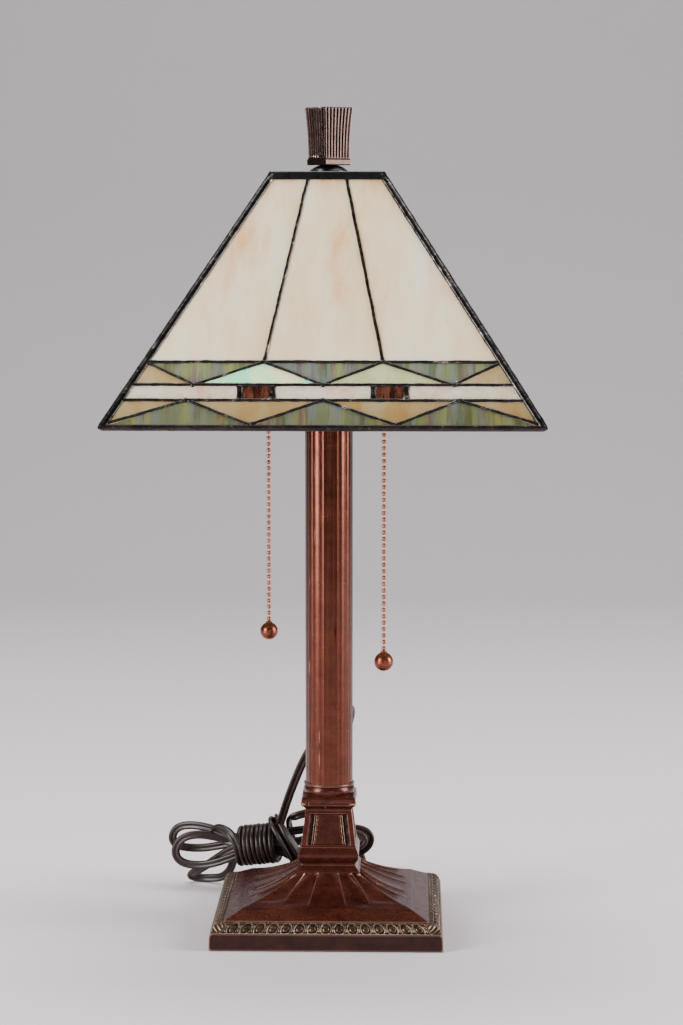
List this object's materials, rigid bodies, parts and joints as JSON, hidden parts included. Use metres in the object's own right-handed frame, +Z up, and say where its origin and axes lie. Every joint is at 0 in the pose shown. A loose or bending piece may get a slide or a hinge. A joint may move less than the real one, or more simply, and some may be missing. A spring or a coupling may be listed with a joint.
{
  "type": "table lamp",
  "caption": "Table lamp with a fluted column on a square cast base and a pyramid shade of leaded art glass, lit by pull-chain sockets.",
  "frame": {"origin": "centre of the underside of the felt pad, on the surface the lamp stands on", "axes": "+Z up along the column, -Y towards the front face, +X to the right seen from the front"},
  "size_m": [0.2842, 0.2842, 0.559],
  "materials": {
    "cast_bronze": "glossy dark bronze with brown-red patina",
    "column_copper": "glossy fluted copper-bronze",
    "felt": "short pressed felt",
    "black_metal": "satin black",
    "finial_bronze": "satin dark bronze",
    "solder": "dark patina with bright flecks",
    "rim_metal": "dark patina",
    "cream_glass": "wispy opalescent",
    "green_glass": "streaky opalescent",
    "iridescent_glass": "iridescent",
    "caramel_glass": "opalescent",
    "accent_glass": "dark red-brown",
    "copper_chain": "antique copper",
    "brass": "satin",
    "steel": "zinc plated",
    "iron": "rough cast",
    "card": "waxed card",
    "phenolic": "moulded",
    "bulb_glass": "frosted",
    "cord_vinyl": "glossy vinyl",
    "plug_vinyl": "glossy moulded"
  },
  "bodies": {
    "root": {"base_casting": "cast_bronze", "neck_casting": "cast_bronze", "column_collar": "cast_bronze", "column_tube": "column_copper", "felt_pad": "felt", "column_cap": "brass", "cluster_body": "brass", "cluster_cover": "brass", "socket_arms": "brass", "socket_caps": "brass", "socket_shells": "brass", "pull_mouths": "brass", "screw_shells": "brass", "centre_contacts": "brass", "plug_blades": "brass", "lamp_pipe": "steel", "riser_stem": "steel", "shade_rest": "steel", "lock_nuts": "steel", "bottom_washer": "steel", "lever_pins": "steel", "front_spring": "steel", "back_spring": "steel", "base_weight": "iron", "socket_liners": "card", "socket_cores": "phenolic", "cord_lead": "cord_vinyl", "cord_tail": "cord_vinyl", "cord_hank": "cord_vinyl", "supply_wire": "cord_vinyl", "plug_body": "plug_vinyl", "cord_bushing": "plug_vinyl"},
    "finial": {"finial": "finial_bronze", "finial_insert": "brass"},
    "shade": {"vase_cap": "black_metal", "check_ring": "black_metal", "rim_channel": "rim_metal", "front_seams": "solder", "right_seams": "solder", "back_seams": "solder", "left_seams": "solder", "cream_panels": "cream_glass", "band_glass": "cream_glass", "green_glass": "green_glass", "iridescent_glass": "iridescent_glass", "caramel_glass": "caramel_glass", "accent_glass": "accent_glass"},
    "front_pull": {"front_pull_link": "copper_chain"},
    "front_lever": {"front_lever": "brass"},
    "front_chain": {"front_chain": "copper_chain", "front_pull_ball": "copper_chain"},
    "front_bulb": {"front_bulb_glass": "bulb_glass", "front_bulb_base": "brass"},
    "back_pull": {"back_pull_link": "copper_chain"},
    "back_lever": {"back_lever": "brass"},
    "back_chain": {"back_chain": "copper_chain", "back_pull_ball": "copper_chain"},
    "back_bulb": {"back_bulb_glass": "bulb_glass", "back_bulb_base": "brass"}
  },
  "joints": [
    {"name": "finial_turn", "type": "hinge", "parent": "root", "child": "finial", "pos_m": [0, 0, 0.54], "axis": [0, 0, 1], "continuous": true},
    {"name": "shade_turn", "type": "hinge", "parent": "root", "child": "shade", "pos_m": [0, 0, 0.5154], "axis": [0, 0, 1], "continuous": true},
    {"name": "front_pull", "type": "slide", "parent": "root", "child": "front_pull", "axis": [0, 0, -1], "range_m": [0, 0.005], "stiffness_N_per_m": 400, "springref_m": -0.002},
    {"name": "front_lever_turn", "type": "hinge", "parent": "root", "child": "front_lever", "pos_m": [0.03053, -0.05396, 0.39], "axis": [0.8704, 0.4924, 0], "range_deg": [0, 19], "deforming": ["front_spring"]},
    {"name": "front_chain_swing", "type": "hinge", "parent": "front_pull", "child": "front_chain", "pos_m": [0.03816, -0.06745, 0.3654], "axis": [0.8704, 0.4924, 0], "range_deg": [-30, 14]},
    {"name": "front_bulb_turn", "type": "hinge", "parent": "root", "child": "front_bulb", "pos_m": [0.02758, -0.04874, 0.404], "axis": [0, 0, 1], "continuous": true},
    {"name": "back_pull", "type": "slide", "parent": "root", "child": "back_pull", "axis": [0, 0, -1], "range_m": [0, 0.005], "stiffness_N_per_m": 400, "springref_m": -0.002},
    {"name": "back_lever_turn", "type": "hinge", "parent": "root", "child": "back_lever", "pos_m": [-0.03556, 0.05079, 0.39], "axis": [-0.8192, -0.5736, 0], "range_deg": [0, 19], "deforming": ["back_spring"]},
    {"name": "back_chain_swing", "type": "hinge", "parent": "back_pull", "child": "back_chain", "pos_m": [-0.04445, 0.06348, 0.3654], "axis": [-0.8192, -0.5736, 0], "range_deg": [-30, 14]},
    {"name": "back_bulb_turn", "type": "hinge", "parent": "root", "child": "back_bulb", "pos_m": [-0.03212, 0.04587, 0.404], "axis": [0, 0, 1], "continuous": true}
  ],
  "couplings": [
    {"joint": "front_lever_turn", "follows": "front_pull", "rad_per_m": 62.408},
    {"joint": "back_lever_turn", "follows": "back_pull", "rad_per_m": 62.408}
  ]
}
